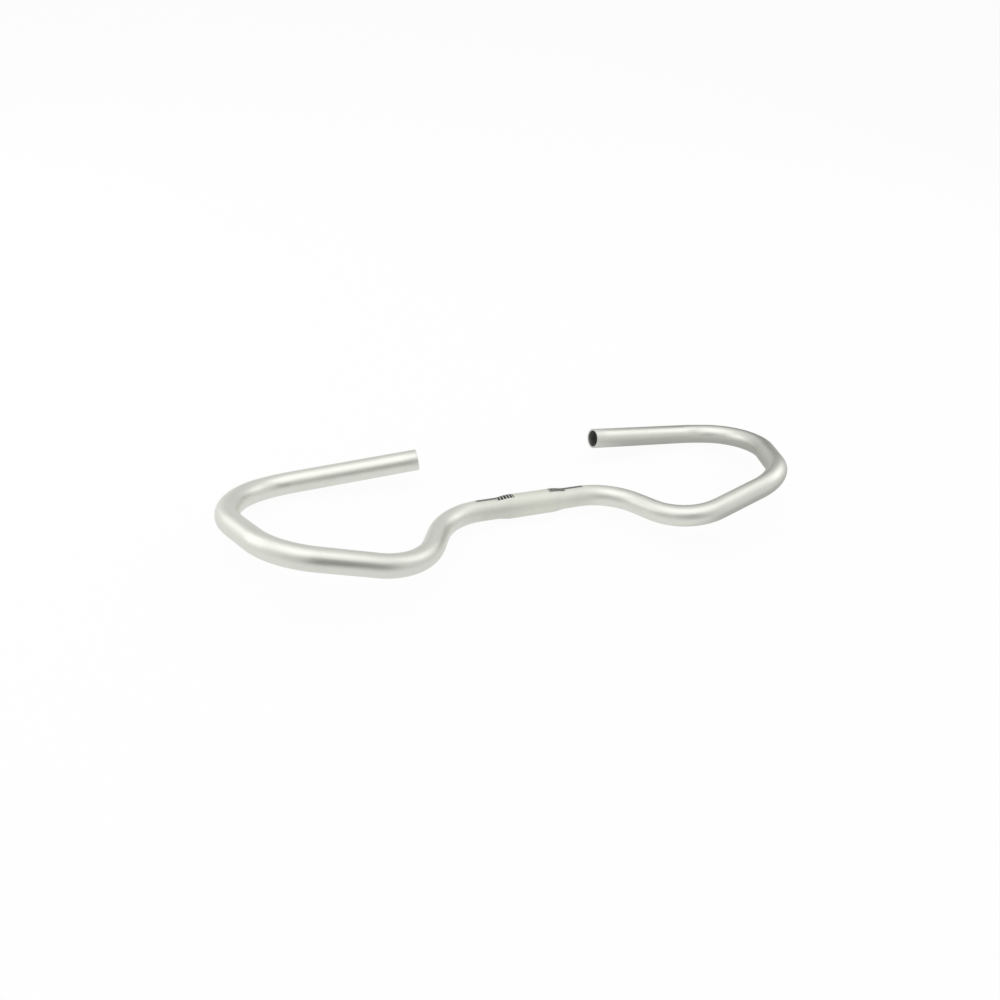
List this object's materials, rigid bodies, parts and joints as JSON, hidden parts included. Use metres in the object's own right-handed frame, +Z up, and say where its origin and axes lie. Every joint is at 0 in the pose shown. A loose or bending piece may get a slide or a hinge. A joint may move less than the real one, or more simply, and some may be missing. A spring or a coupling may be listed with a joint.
{
  "type": "bicycle handlebar",
  "caption": "Multi-position bicycle handlebar: one bent aluminium tube with a swelled stem seat, a looped wing on each side and open grip ends that face each other.",
  "frame": {"origin": "middle of the stem seat, on its axis", "axes": "+X along the stem seat towards the bar's right-hand side, -Y forwards to the front of the two wings, +Z up with the bar lying at rest on its stem seat and its two outer rear corners"},
  "size_m": [0.6128, 0.1783, 0.0679],
  "materials": {
    "satin_aluminium": "satin, bead-blasted and clear anodised"
  },
  "bodies": {
    "root": {"handlebar": "satin_aluminium"}
  },
  "joints": []
}
